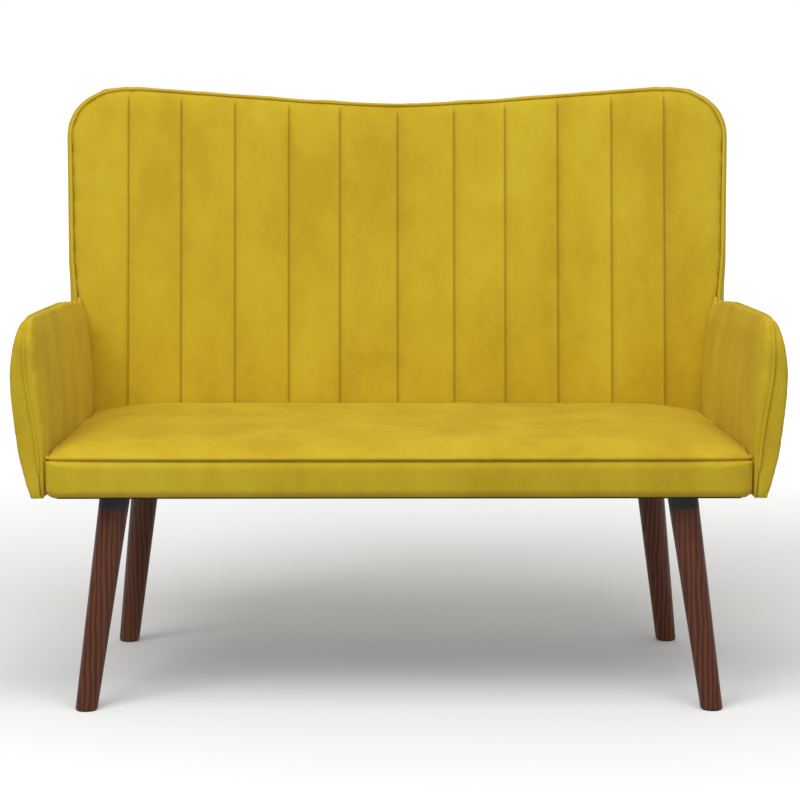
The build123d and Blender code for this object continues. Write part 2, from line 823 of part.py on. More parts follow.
with BuildPart() as arm_inner_foam:
    add(arm_core)
    beyond_inner_side(board_inner, Mode.SUBTRACT)
    add(arm_batten.part, mode=Mode.SUBTRACT)
    drill_bolts(bolt_radius + bore_gap)
    add(arm_welt.part, mode=Mode.SUBTRACT)
finish_pair(arm_inner_foam, "arm_inner_foam")

with BuildPart() as arm_outer_foam:
    add(arm_core)
    beyond_inner_side(board_inner, Mode.INTERSECT)
    add(arm_board_blank.part, mode=Mode.SUBTRACT)
    add(arm_welt.part, mode=Mode.SUBTRACT)
    add(tee_nut_blanks.part, mode=Mode.SUBTRACT)
finish_pair(arm_outer_foam, "arm_outer_foam")

with BuildPart() as arm_skin:
    add(arm_shell)
    add(arm_core, mode=Mode.SUBTRACT)
    add(arm_welt.part, mode=Mode.SUBTRACT)
    drill_bolts(bolt_radius + bore_gap)

with BuildPart() as arm_inner_cover:
    add(arm_skin.part)
    split(bisect_by=arm_seam_plane(), keep=Keep.TOP)
finish_pair(arm_inner_cover, "arm_inner_cover")

with BuildPart() as arm_outer_cover:
    add(arm_skin.part)
    split(bisect_by=arm_seam_plane(), keep=Keep.BOTTOM)
finish_pair(arm_outer_cover, "arm_outer_cover")
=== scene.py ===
# %% [markdown]
# # A velvet settee on wooden legs
# The settee is a timber frame inside, covered with foam and mustard velvet, and carried by four turned
# legs. The joinery and the fasteners come from the CAD model as they are and only get their finishes
# here. Everything soft is made again in this file: stuffed with a cloth simulation, then sewn.

# %% Load the frame
import json
import math

import bmesh
import bpy
import numpy as np
from mathutils import Euler, Matrix, Vector, noise


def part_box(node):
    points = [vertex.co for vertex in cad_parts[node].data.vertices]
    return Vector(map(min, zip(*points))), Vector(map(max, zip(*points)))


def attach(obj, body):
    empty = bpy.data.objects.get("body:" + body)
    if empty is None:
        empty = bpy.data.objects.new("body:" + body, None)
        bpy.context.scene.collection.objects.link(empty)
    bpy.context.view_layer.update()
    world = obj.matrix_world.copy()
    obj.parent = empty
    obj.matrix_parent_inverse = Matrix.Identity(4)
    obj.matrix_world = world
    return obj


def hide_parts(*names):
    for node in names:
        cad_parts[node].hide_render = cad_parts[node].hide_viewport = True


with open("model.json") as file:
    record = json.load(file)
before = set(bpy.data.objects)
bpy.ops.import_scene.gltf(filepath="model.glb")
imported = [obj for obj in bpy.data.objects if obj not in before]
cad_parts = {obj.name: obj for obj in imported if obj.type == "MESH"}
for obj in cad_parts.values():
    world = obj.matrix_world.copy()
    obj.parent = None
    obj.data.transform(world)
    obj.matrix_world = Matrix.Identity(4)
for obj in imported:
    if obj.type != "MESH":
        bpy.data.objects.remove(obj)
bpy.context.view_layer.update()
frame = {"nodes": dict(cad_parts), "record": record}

scene = bpy.context.scene
nodes = frame["nodes"]

# %% [markdown]
# ## Camera
# The settee is looked at from straight in front and slightly above. A long lens from more than four
# metres away keeps the back and the arms almost square, as in a shop picture.

# %% Camera
camera_data = bpy.data.cameras.new("camera")
camera_data.lens = 119.07
camera_data.sensor_width = 36
camera_data.clip_end = 50
camera = bpy.data.objects.new("camera", camera_data)
camera.location = (-0.0228, -4.628, 1.100)
camera.rotation_euler = Euler((math.radians(90 - 7.708), 0, math.radians(-0.322)))
scene.collection.objects.link(camera)
scene.camera = camera
print("camera at", tuple(camera.location))

# %% [markdown]
# ## Shader helpers
# A finish is a small program of nodes. Writing it as Python sums keeps it readable: a socket that is
# added to or multiplied by something becomes a Math node, and every other node comes from one method.

# %% Values and finishes
class Value:
    """An output socket that can be used in Python arithmetic."""

    def __init__(self, finish, socket):
        self.finish = finish
        self.socket = socket

    def math(self, operation, *others):
        inputs = dict(enumerate((self, *others)))
        return self.finish.add("ShaderNodeMath", {"operation": operation}, inputs)

    def __add__(self, other):
        return self.math("ADD", other)

    def __sub__(self, other):
        return self.math("SUBTRACT", other)

    def __mul__(self, other):
        return self.math("MULTIPLY", other)

    def __pow__(self, other):
        return self.math("POWER", other)

    def __rsub__(self, other):
        return (self * -1) + other

    __radd__ = __add__
    __rmul__ = __mul__


class Finish:
    """A material whose nodes are added by one method."""

    def __init__(self, name):
        self.material = bpy.data.materials.new(name)
        self.material.use_nodes = True
        self.tree = self.material.node_tree
        self.shader = self.tree.nodes["Principled BSDF"]

    def add(self, kind, settings=None, inputs=None, output=0):
        """Adds a node: its settings first, then the values or links of its sockets."""
        node = self.tree.nodes.new(kind)
        for name, value in (settings or {}).items():
            if name == "stops":
                for stop, (position, tone) in zip(node.color_ramp.elements, value):
                    stop.position = position
                    stop.color = tone
            else:
                setattr(node, name, value)
        for name, value in (inputs or {}).items():
            self.plug(node.inputs[name], value)
        return Value(self, node.outputs[output])

    def plug(self, socket, value):
        if isinstance(value, Value):
            self.tree.links.new(value.socket, socket)
        else:
            socket.default_value = value

    def surface(self, **inputs):
        """Sets the shader's own sockets, with underscores for the spaces in their names."""
        for name, value in inputs.items():
            self.plug(self.shader.inputs[name.replace("_", " ")], value)

    def place(self):
        """A point of the piece, in metres."""
        return self.add("ShaderNodeTexCoord", output="Object")

    def turned(self, place, rotation=(0, 0, 0), scale=(1, 1, 1)):
        inputs = {"Vector": place, "Rotation": rotation, "Scale": scale}
        return self.add("ShaderNodeMapping", None, inputs)

    def clouds(self, place, scale, detail=2.0, roughness=0.5):
        inputs = {"Vector": place, "Scale": scale, "Detail": detail, "Roughness": roughness}
        return self.add("ShaderNodeTexNoise", None, inputs)

    def ramp(self, value, low, high):
        """Carries values from low to high onto 0 to 1, with soft ends."""
        settings = {"interpolation_type": "SMOOTHSTEP"}
        return self.add("ShaderNodeMapRange", settings, {0: value, 1: low, 2: high})

    def mix(self, share, first, second):
        """Blends two colours."""
        inputs = {0: share, 6: first, 7: second}
        return self.add("ShaderNodeMix", {"data_type": "RGBA"}, inputs, output=2)

    def relief(self, height, distance, strength=1.0, below=None):
        inputs = {"Height": height, "Distance": distance, "Strength": strength}
        if below is not None:
            inputs["Normal"] = below
        return self.add("ShaderNodeBump", None, inputs)

    def marks(self, name):
        """A measure that was painted on the mesh under this name."""
        return self.add("ShaderNodeAttribute", {"attribute_name": name}, output="Fac")


def tone(red, green, blue):
    """A colour as it looks on a screen, 0 to 255, turned into linear light."""
    light = [((c / 255 + 0.055) / 1.055) ** 2.4 for c in (red, green, blue)]
    return (*light, 1.0)


print("finish helpers ready")

# %% [markdown]
# ## Velvet
# Velvet is a dense short pile. It looks matte and deep where the pile is seen end on, paler where it is
# seen from the side, and hands and brushes leave soft clouds in it. The clouds are three layers of
# noise, the paler edge is the shader's sheen, and the seams get a painted shade, darkest at the stitches.

# %% Velvet
def velvet(name, deep, middle, pale):
    finish = Finish(name)
    place = finish.place()
    brushed = finish.clouds(finish.turned(place, scale=(1, 1, 0.45)), 9.0, 3.0, 0.6)
    streaks = finish.clouds(finish.turned(place, scale=(1, 1, 0.12)), 55.0, 2.0)
    mottle = finish.clouds(place, 60.0, 3.0, 0.6)
    pile = finish.clouds(place, 1400.0, 2.0)
    shade = brushed * 0.78 + streaks * 0.04 + mottle * 0.18
    ground = finish.mix(finish.ramp(shade, 0.36, 0.53), deep, middle)
    ground = finish.mix(finish.ramp(shade, 0.50, 0.66) * 0.8, ground, pale)
    ground = finish.mix(finish.ramp(pile, 0.3, 0.7) * 0.10, ground, deep)
    # Painted shade: along the stitches the base colour is darkened towards a deep ochre.
    seam = finish.marks("seam")
    ground = finish.mix(seam * 0.88, ground, tone(128, 93, 10))
    finish.surface(Base_Color=ground, Roughness=0.9 - pile * 0.16)
    soft = finish.relief(mottle * 0.3 + brushed, 0.0012, 0.45)
    finish.surface(Normal=finish.relief(pile, 0.0005, 0.35, soft))
    finish.surface(Sheen_Weight=0.22, Sheen_Roughness=0.45, Sheen_Tint=tone(255, 232, 120))
    finish.surface(Specular_IOR_Level=0.18)
    return finish.material


mustard = velvet("mustard_velvet", tone(193, 162, 32), tone(203, 174, 38), tone(210, 184, 46))
print("velvet:", mustard.name)

# %% [markdown]
# ## Wood finishes
# The legs are turned from one blank each and stained walnut, so the grain runs up the leg and opens
# into long pointed figures where the taper cuts through it. The frame inside is plain planed pine,
# with board and plywood where the settee needs thin panels. One recipe serves them all: rings of a
# stretched wave, fine pores stretched along the grain, and a slow change of colour.

# %% Wood
def wood(name, dark, light, pore, grain=(0, 0, 0), along=0.06, gloss=0.45):
    finish = Finish(name)
    blank = finish.turned(finish.place(), rotation=grain, scale=(1, 1, along))
    drift = finish.clouds(blank, 22.0, 3.0)
    inputs = {"Vector": blank, "Scale": 38.0, "Distortion": 5.0, "Detail": 3.0, "Detail Scale": 1.4}
    rings = finish.add("ShaderNodeTexWave", {"bands_direction": "X"}, inputs, output=1)
    pores = finish.clouds(finish.turned(finish.place(), grain, (1, 1, 0.035)), 900.0, 2.0)
    figure = finish.ramp(rings * 0.45 + drift * 0.55, 0.25, 0.72)
    ground = finish.mix(figure, dark, light)
    lines = finish.ramp(pores, 0.56, 0.68)
    ground = finish.mix(lines * 0.6, ground, pore)
    finish.surface(Base_Color=ground, Roughness=gloss + lines * 0.18)
    finish.surface(Normal=finish.relief(lines * -1, 0.0004, 0.4))
    finish.surface(Specular_IOR_Level=0.25)
    return finish.material


def lengthwise(node):
    """The turn that lays a leg's axis along Z, from where its two ends are."""
    points = np.array([v.co for v in nodes[node].data.vertices])
    low = points[points[:, 2] < points[:, 2].min() + 0.004].mean(0)
    high = points[points[:, 2] > points[:, 2].max() - 0.02].mean(0)
    turn = Vector(high - low).normalized().rotation_difference(Vector((0, 0, 1)))
    return turn.to_euler()


leg_names = [f"leg_{end}_{side}" for end in ("front", "rear") for side in ("left", "right")]
for name in leg_names:
    grain = lengthwise(name)
    walnut = wood(
        f"walnut_{name}", tone(74, 37, 22), tone(108, 58, 36), tone(54, 26, 16), grain, gloss=0.42
    )
    nodes[name].data.materials.clear()
    nodes[name].data.materials.append(walnut)
print("walnut on", leg_names)

# %% [markdown]
# ## Metal, plastic and the hidden cloths
# The leg brackets are powder coated, which leaves a fine orange-peel skin. Bolts and screws are zinc
# plated, with a faint yellow cast in places. Webbing, felt and foam are only seen when the settee is
# opened, but each still has its weave or its cells.

# %% Metal and plastic
def coated(name, low, high, metallic, rough, skin, peel):
    """A hard finish with slow changes of colour and a fine skin on it."""
    finish = Finish(name)
    place = finish.place()
    drift = finish.clouds(place, 30.0, 3.0)
    grain = finish.clouds(place, skin, 2.0)
    finish.surface(Base_Color=finish.mix(finish.ramp(drift, 0.3, 0.7), low, high))
    finish.surface(Roughness=drift * 0.12 + grain * 0.08 + rough, Metallic=metallic)
    finish.surface(Normal=finish.relief(grain, peel, 0.5))
    return finish.material


def woven(name, low, high, pitch, rough=0.9):
    """A cloth of crossing threads with this pitch."""
    finish = Finish(name)
    place = finish.place()
    threads = []
    for direction in ("X", "Y", "Z"):
        settings = {"bands_direction": direction}
        inputs = {"Vector": place, "Scale": 0.32 / pitch}
        threads.append(finish.add("ShaderNodeTexWave", settings, inputs, output=1))
    weave = (threads[0] + threads[1] + threads[2]) * 0.34
    drift = finish.clouds(place, 40.0, 3.0)
    shade = finish.ramp(weave * 0.6 + drift * 0.4, 0.25, 0.75)
    finish.surface(Base_Color=finish.mix(shade, low, high), Roughness=rough - drift * 0.1)
    finish.surface(Normal=finish.relief(weave, pitch * 0.3, 0.6))
    return finish.material


finishes = {
    "black_steel": coated("black_powder_coat", tone(13, 15, 15), tone(26, 29, 29), 0.0, 0.5, 900.0, 0.0003),
    "glide_plastic": coated("black_glide_plastic", tone(18, 18, 18), tone(34, 34, 35), 0.0, 0.5, 500.0, 0.0002),
    "zinc_steel": coated("bright_zinc", tone(186, 186, 178), tone(214, 214, 212), 1.0, 0.28, 260.0, 0.0001),
    "hardboard": coated("brown_fibreboard", tone(112, 80, 52), tone(146, 108, 72), 0.0, 0.72, 700.0, 0.0003),
    "frame_timber": wood("planed_pine", tone(176, 132, 84), tone(216, 178, 122), tone(140, 96, 58), gloss=0.6),
    "plywood": wood("birch_ply", tone(182, 146, 102), tone(216, 184, 136), tone(150, 112, 74), gloss=0.6),
    "webbing": woven("elastic_webbing", tone(44, 44, 47), tone(76, 76, 80), 0.0022),
    "felt": coated("needled_felt", tone(158, 154, 148), tone(188, 186, 180), 0.0, 0.86, 1200.0, 0.0008),
    "foam": coated("cut_foam", tone(214, 206, 172), tone(234, 228, 200), 0.0, 0.88, 800.0, 0.001),
    "velvet": mustard,
    "dust_cloth": woven("black_spun_cloth", tone(24, 24, 26), tone(46, 46, 49), 0.0016),
}
for part in frame["record"]["subparts"]:
    name = part["node"]
    if name not in leg_names and part["material_slot"] in finishes:
        nodes[name].data.materials.clear()
        nodes[name].data.materials.append(finishes[part["material_slot"]])
print("finishes on the carried-over nodes:", sorted(finishes))

# %% [markdown]
# ## Tools of the upholsterer
# A soft piece starts as the closed shape of its stuffing. It is remeshed into even squares, then
# simulated as a bag of cloth with air inside, and each point may only move a few millimetres, because
# the cover is cut to fit. Seams come last: the mesh is cut along the seam's plane, and the cloth next to
# the cut is drawn in, deepest at the stitches.

# %% Pieces from meshes
def new_piece(name, work, material=mustard):
    """Makes an object from a bmesh, with its normals pointing out."""
    bmesh.ops.recalc_face_normals(work, faces=work.faces)
    mesh = bpy.data.meshes.new(name)
    work.to_mesh(mesh)
    work.free()
    piece = bpy.data.objects.new(name, mesh)
    scene.collection.objects.link(piece)
    piece.data.materials.append(material)
    return piece


def opened(piece):
    """The piece's mesh, ready for bmesh operators."""
    work = bmesh.new()
    work.from_mesh(piece.data)
    return work


def closed(piece, work):
    """Writes a bmesh back to its piece."""
    work.to_mesh(piece.data)
    work.free()
    piece.data.update()


def everything(work):
    return work.verts[:] + work.edges[:] + work.faces[:]


def copy_of(name, *sources):
    """One piece from copies of CAD nodes, with their loose triangles merged."""
    work = bmesh.new()
    for source in sources:
        work.from_mesh(nodes[source].data)
    bmesh.ops.remove_doubles(work, verts=work.verts, dist=1e-5)
    return new_piece(name, work)


def apply(piece, kind, **settings):
    """Adds a modifier, keeps its result as the mesh and takes the modifier off again."""
    step = piece.modifiers.new(kind, kind)
    for name, value in settings.items():
        setattr(step, name, value)
    graph = bpy.context.evaluated_depsgraph_get()
    result = bpy.data.meshes.new_from_object(piece.evaluated_get(graph))
    piece.modifiers.clear()
    piece.data = result
    return piece


def read(mesh, name):
    """The places or normals of a mesh's points, as rows of three."""
    rows = np.zeros(len(mesh.vertices) * 3)
    mesh.vertices.foreach_get(name, rows)
    return rows.reshape(-1, 3)


def points_of(piece):
    return read(piece.data, "co")


def outward(piece):
    return read(piece.data, "normal")


def move_to(piece, points):
    piece.data.vertices.foreach_set("co", np.asarray(points, np.float32).ravel())
    piece.data.update()


def waves(points, scale, seed):
    """Smooth noise from -1 to 1 at every point."""
    shift = Vector((seed * 3.1, seed * 1.7, seed * 2.3))
    return np.array([noise.noise(Vector(p) * scale + shift) for p in points])


def squares(piece, size):
    """Remeshes a closed shape into even squares."""
    return apply(piece, "REMESH", mode="VOXEL", voxel_size=size, use_smooth_shade=True)


# %% The bag of cloth
def stuff(piece, pressure, most, freedom=None, shrink=0.0):
    """Blows a piece up like a bag of cloth. Each point goes at most this far."""
    start = points_of(piece)
    cloth = piece.modifiers.new("cloth", "CLOTH")
    rules = cloth.settings
    rules.use_pressure = True
    rules.uniform_pressure_force = pressure
    rules.effector_weights.gravity = 0
    rules.quality = 4
    rules.mass = 0.25
    rules.tension_stiffness = 8
    rules.compression_stiffness = 8
    rules.shear_stiffness = 3
    rules.bending_stiffness = 0.4
    rules.shrink_min = shrink
    for number in range(1, 21):
        scene.frame_set(number)
    graph = bpy.context.evaluated_depsgraph_get()
    evaluated = piece.evaluated_get(graph)
    swell = read(evaluated.data, "co") - start
    piece.modifiers.clear()
    scene.frame_set(1)
    length = np.linalg.norm(swell, axis=1) + 1e-9
    swell *= (np.minimum(length, most) / length)[:, None]
    if freedom is not None:
        swell *= freedom(start)[:, None]
    move_to(piece, start + swell)
    print(f"{piece.name}: {len(start)} points, moved {length.clip(0, most).mean() * 1000:.1f} mm on average")
    return piece


# %% Cutting and sewing
def cut(work, point, normal, faces=None):
    """Adds a line of edges where a plane crosses the mesh."""
    geometry = everything(work)
    if faces is not None:
        chosen = [f for f in work.faces if faces(f)]
        edges = {e for f in chosen for e in f.edges}
        corners = {v for f in chosen for v in f.verts}
        geometry = [*corners, *edges, *chosen]
    bmesh.ops.bisect_plane(work, geom=geometry, dist=1e-5, plane_co=point, plane_no=normal)


def trimmed(piece, name, *cuts, fill=False):
    """A copy of a piece without what lies beyond each plane, on the side its normal points to."""
    work = opened(piece)
    for point, normal in cuts:
        result = bmesh.ops.bisect_plane(
            work, geom=everything(work), dist=1e-6, plane_co=point, plane_no=normal, clear_outer=True
        )
        if fill:
            rim = [e for e in result["geom_cut"] if isinstance(e, bmesh.types.BMEdge)]
            bmesh.ops.holes_fill(work, edges=rim, sides=0)
    return new_piece(name, work)


def sew(piece, point, normal, reach, depth, inwards=None, where=None, dark=0.0016, strength=1.0):
    """Draws the cloth in along the plane of a line of stitches, and paints a shade along that line for the
    velvet's colour.
    """
    marks = piece.data.attributes.get("seam") or piece.data.attributes.new("seam", "FLOAT", "POINT")
    points = points_of(piece)
    normals = outward(piece)
    across = np.abs((points - np.array(point)) @ np.array(Vector(normal).normalized()))
    share = (1 - across / reach).clip(0, 1) ** 2.2
    # Painted shade: a narrow dark band along the stitches' line, kept as a point attribute for the velvet.
    shade = np.exp(-((across / dark) ** 2)) * strength
    if where is not None:
        chosen = where(points, normals)
        share = share * chosen
        shade = shade * chosen
    pull = normals if inwards is None else -np.array(inwards)[None, :]
    move_to(piece, points - pull * (share * depth)[:, None])
    before = np.zeros(len(points))
    marks = piece.data.attributes["seam"]
    marks.data.foreach_get("value", before)
    marks.data.foreach_set("value", np.maximum(before, shade).astype(np.float32))
    piece.data.update()


def seam_plane(node):
    """Middle and normal of the flat path that a node's piping follows."""
    points = np.array([v.co for v in nodes[node].data.vertices])
    middle = points.mean(0)
    normal = np.linalg.svd(points - middle, full_matrices=False)[2][-1]
    return Vector(middle), Vector(normal)


def rim(piece, point, normal):
    """The line where a plane crosses a piece, as points in order round it."""
    work = opened(piece)
    bmesh.ops.bisect_plane(
        work, geom=everything(work), dist=1e-6, plane_co=point, plane_no=normal,
        clear_outer=True, clear_inner=True,
    )
    bmesh.ops.remove_doubles(work, verts=work.verts, dist=1e-4)
    start = max(work.verts, key=lambda v: (len(v.link_edges) == 1, v.co.z))
    line, seen, here = [start.co.copy()], {start}, start
    while True:
        onward = [e.other_vert(here) for e in here.link_edges if e.other_vert(here) not in seen]
        if not onward:
            break
        here = onward[0]
        seen.add(here)
        line.append(here.co.copy())
    work.free()
    return line


def even(line, step, rounds=14, loop=False):
    """The same line with evenly spaced, smoothed points."""
    points = np.array(line)
    if loop:
        points = np.vstack([points, points[:1]])
    for _ in range(rounds):
        points[1:-1] = (points[:-2] + 2 * points[1:-1] + points[2:]) / 4
    gaps = np.linalg.norm(np.diff(points, axis=0), axis=1)
    run = np.concatenate([[0], np.cumsum(gaps)])
    count = max(4, int(run[-1] / step))
    places = np.linspace(0, run[-1], count)
    return np.stack([np.interp(places, run, points[:, axis]) for axis in range(3)], axis=1)


def piping(name, line, radius=0.0031, loop=False):
    """A velvet-covered cord along a line."""
    curve = bpy.data.curves.new(name, "CURVE")
    curve.dimensions = "3D"
    curve.bevel_depth = radius
    curve.bevel_resolution = 3
    curve.use_fill_caps = not loop
    spline = curve.splines.new("POLY")
    spline.points.add(len(line) - 1)
    for place, point in zip(spline.points, line):
        place.co = (*point, 1)
    spline.use_cyclic_u = loop
    holder = bpy.data.objects.new(name, curve)
    scene.collection.objects.link(holder)
    graph = bpy.context.evaluated_depsgraph_get()
    mesh = bpy.data.meshes.new_from_object(holder.evaluated_get(graph))
    bpy.data.objects.remove(holder)
    work = bmesh.new()
    work.from_mesh(mesh)
    bmesh.ops.remove_doubles(work, verts=work.verts, dist=1e-6)
    piece = new_piece(name, work)
    points = points_of(piece)
    swell = waves(points, 90, 5) * 0.00018 + waves(points, 30, 6) * 0.0002
    move_to(piece, points + outward(piece) * swell[:, None])
    print(f"{name}: {len(line)} stations, {len(piece.data.polygons)} faces")
    return piece


def settle(piece, slot, *replaced, fill=None):
    """Smooth shading, the body it rides on and the nodes it stands for. The slot of its finish is not used."""
    for face in piece.data.polygons:
        face.use_smooth = True
    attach(piece, "root")
    if replaced:
        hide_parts(*replaced)
    print(f"{piece.name}: {len(piece.data.polygons)} faces, replaces {replaced}")
    return piece


print("upholstery tools ready")

# %% [markdown]
# ## Where the back lies
# The back is one leaning slab. It is drawn flat, with X across the settee, Y up the slope and Z towards
# the front, and then laid on the slope of the CAD model's front cover.

# %% The back's slope
lean = math.radians(9.8)
seat_level = 0.441
front_normal = Vector((0, -math.cos(lean), math.sin(lean)))
up_the_slope = Vector((0, math.sin(lean), math.cos(lean)))
low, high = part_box("back_front_cover")
back_half = high.x
frame_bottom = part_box("back_bottom_rail")[0].z
pad_bottom = low.z
cover_points = np.array([v.co for v in nodes["back_front_cover"].data.vertices])
face_distance = (cover_points @ np.array(front_normal)).max()
rear_points = np.array([v.co for v in nodes["back_rear_cover"].data.vertices])
back_thickness = face_distance - (rear_points @ np.array(front_normal)).min()
origin = Vector((0, 0, seat_level))
origin.y = (face_distance - origin.z * front_normal.z) / front_normal.y
slope = Matrix((Vector((1, 0, 0)), up_the_slope, front_normal)).transposed().to_4x4()
slope.translation = origin


def behind(depth):
    """A point this far behind the back's front face."""
    return origin - front_normal * depth


def depth_of(points):
    return (np.array(origin) - points) @ np.array(front_normal)


print(f"back: half width {back_half:.4f}, thickness {back_thickness:.4f}, face at y {origin.y:.4f}")

# %% [markdown]
# ## The back's stuffing
# The outline has slanted sides, round top corners and a long shallow dip between them. Five corner
# points joined into a face and rounded by a vertex bevel give that line exactly, which a grid could
# not. The slab is then remeshed and blown up as one bag, so that its front, edge and rear share one
# skin and meet cleanly at the piping. Blowing up changes the outline a little, so the bag is fitted to
# the heights and the half width of its pattern afterwards.

# %% The back's outline and bag
corner_height = (1.018 - seat_level) / math.cos(lean)
top_half = 0.6055
foot_half = 0.5935
foot_level = -0.16
dip = 0.041
corner_round = 0.084
dip_round = 1.35
work = bmesh.new()
flat_points = [
    (-foot_half, foot_level), (foot_half, foot_level),
    (top_half, corner_height), (0, corner_height - dip), (-top_half, corner_height),
]
corners = [work.verts.new((x, y, 0)) for x, y in flat_points]
bmesh.ops.contextual_create(work, geom=corners)


def round_corner(vertex, radius):
    """Rounds a corner of a flat face to this radius."""
    first, second = [(e.other_vert(vertex).co - vertex.co).normalized() for e in vertex.link_edges]
    bend = math.pi - first.angle(second)
    bmesh.ops.bevel(
        work, geom=[vertex], offset=radius * math.tan(bend / 2), offset_type="OFFSET", segments=24,
        profile=0.5, affect="VERTICES", material=-1,
    )


round_corner(corners[3], dip_round)
for side in (-1, 1):
    peak = min(work.verts, key=lambda v: (v.co - Vector((side * top_half, corner_height, 0))).length)
    round_corner(peak, corner_round)
base = work.faces[:]
result = bmesh.ops.extrude_face_region(work, geom=base)
moved = [v for v in result["geom"] if isinstance(v, bmesh.types.BMVert)]
bmesh.ops.translate(work, verts=moved, vec=(0, 0, -back_thickness + 0.003))
bmesh.ops.translate(work, verts=work.verts, vec=(0, 0, -0.0015))
bmesh.ops.transform(work, matrix=slope, verts=work.verts)
result = bmesh.ops.bisect_plane(
    work, geom=everything(work), plane_co=(0, 0, frame_bottom + 0.001), plane_no=(0, 0, -1), clear_outer=True
)
rim_edges = [e for e in result["geom_cut"] if isinstance(e, bmesh.types.BMEdge)]
bmesh.ops.holes_fill(work, edges=rim_edges, sides=0)
bmesh.ops.dissolve_limit(work, angle_limit=0.001, verts=work.verts, edges=work.edges)
outer_rim = [
    e for e in work.edges
    if len(e.link_faces) == 2 and any(abs(f.normal.dot(front_normal)) > 0.99 for f in e.link_faces)
]
bmesh.ops.bevel(
    work, geom=outer_rim, offset=0.009, offset_type="OFFSET", segments=4, profile=0.5,
    affect="EDGES", material=-1,
)
back_bag = new_piece("back_bag", work)
squares(back_bag, 0.008)
apply(back_bag, "SMOOTH", factor=0.5, iterations=6)


def back_freedom(points):
    """The face is free to swell, the edge only a little, and the rear is held by its board."""
    depth = depth_of(points)
    front = (1 - (depth - 0.004) / 0.012).clip(0, 1)
    rear = ((depth - back_thickness + 0.006) / 0.006).clip(0, 1)
    return 0.35 + 0.65 * front - 0.25 * rear


stuff(back_bag, 4.0, 0.0045, back_freedom)

# %% Fitting the back's bag to its pattern
pattern_half = 0.6038
pattern_x = (0, 0.091, 0.180, 0.290, 0.357, 0.423, 0.512)
pattern_top = (0.9812, 0.9848, 0.9900, 0.9985, 1.0031, 1.0079, 1.0128)
waist_height = (0.50, 0.58, 0.625, 0.645, 0.665, 0.70)
waist_share = (0, 0.006, 0.0105, 0.0075, 0.003, 0)
piping_depth = 0.0045
line = np.array(rim(back_bag, behind(piping_depth), front_normal))
points = points_of(back_bag)
points[:, 0] *= pattern_half / np.abs(line[:, 0]).max()
crest = line[line[:, 2] > 0.9]
edge_top = np.interp(np.abs(points[:, 0]), pattern_x, pattern_top)
order = np.argsort(np.abs(crest[:, 0]))
own_top = np.interp(np.abs(points[:, 0]), np.abs(crest[order, 0]), crest[order, 2])
near_corner = ((0.56 - np.abs(points[:, 0])) / 0.06).clip(0, 1)
rise = (edge_top - own_top) * near_corner + 0.003 * (1 - near_corner)
high_up = ((points[:, 2] - 0.86) / 0.11).clip(0, 1)
points[:, 2] += rise * high_up
waist = np.interp(points[:, 2], waist_height, waist_share)
towards_front = (1 - (depth_of(points) - 0.015) / 0.02).clip(0, 1)
points[:, 0] *= 1 - waist * towards_front
move_to(back_bag, points)
print(f"back bag fitted: lifted {rise.min() * 1000:.1f} to {rise.max() * 1000:.1f} mm")

# %% [markdown]
# ## Channels in the back
# Eleven rows of stitches, sewn through the cover and the foam, divide the front into twelve upright
# channels. Lines of edges are cut beside each row first, so that the cloth can fold sharply there and
# stay smooth between the rows. One subdivision rounds the folds.

# %% Cutting the channels' lines
channel_seams = (-0.495, -0.398, -0.299, -0.200, -0.106, 0.0, 0.104, 0.198, 0.295, 0.394, 0.491)
front_edge = behind(piping_depth)
rear_edge = behind(back_thickness - piping_depth)

back_front_line = rim(back_bag, front_edge, front_normal)
back_rear_line = rim(back_bag, rear_edge, front_normal)

work = opened(back_bag)
for point in (front_edge, rear_edge):
    for offset in (-0.0025, 0.0, 0.0025):
        cut(work, point + front_normal * offset, front_normal)
for x in channel_seams:
    for offset in (-0.010, -0.0045, -0.0015, 0.0, 0.0015, 0.0045, 0.010):
        cut(work, (x + offset, 0, 0), (1, 0, 0), lambda f: f.normal.dot(front_normal) > 0.5)
closed(back_bag, work)
apply(back_bag, "SUBSURF", levels=1, render_levels=1)
print("back bag faces:", len(back_bag.data.polygons))

# %% Sewing the back
def facing_front(points, normals):
    """1 on the back's front face, away from its rolled edge, where the rows of stitches run."""
    front = ((normals @ np.array(front_normal) - 0.55) / 0.3).clip(0, 1)
    top = np.interp(np.abs(points[:, 0]), (0, 0.30, 0.52, 0.60), (0.979, 0.998, 1.010, 0.98))
    start = ((top - points[:, 2]) / 0.016).clip(0, 1)
    return front * start


# Each row of stitches and each edge seam is drawn in, with a painted shade along its line.
for x in channel_seams:
    sew(back_bag, (x, 0, 0), (1, 0, 0), 0.015, 0.0038, front_normal, facing_front, dark=0.0019, strength=0.72)
for point in (front_edge, rear_edge):
    sew(back_bag, point, front_normal, 0.009, 0.0024, dark=0.0022, strength=0.9)

points = points_of(back_bag)
front = ((outward(back_bag) @ np.array(front_normal) - 0.5) / 0.4).clip(0, 1)
wrinkle = waves(points * np.array((1, 1, 0.6)), 9, 1) * 0.0011 + waves(points, 26, 2) * 0.0004
move_to(back_bag, points + np.array(front_normal)[None, :] * (wrinkle * front)[:, None])

points = points_of(back_bag)
flat_rear = ((-outward(back_bag) @ np.array(front_normal) - 0.6) / 0.3).clip(0, 1)
short = back_thickness + 0.0008 + waves(points, 7, 3) * 0.0003 - depth_of(points)
move_to(back_bag, points - np.array(front_normal)[None, :] * (short * flat_rear)[:, None])

# %% The back's front pad
back_pad = trimmed(
    back_bag, "back_front_pad", (behind(0.0300), -front_normal), ((0, 0, pad_bottom), (0, 0, -1)), fill=True
)
points = points_of(back_pad)
depth = depth_of(points)
inside = ((depth - piping_depth - 0.0005) / 0.002).clip(0, 1)
sideways = outward(back_pad)
sideways -= (sideways @ np.array(front_normal))[:, None] * np.array(front_normal)[None, :]
move_to(back_pad, points - sideways * (inside * 0.0028)[:, None])
settle(back_pad, "velvet", "back_foam", "back_front_cover", fill=0.8)

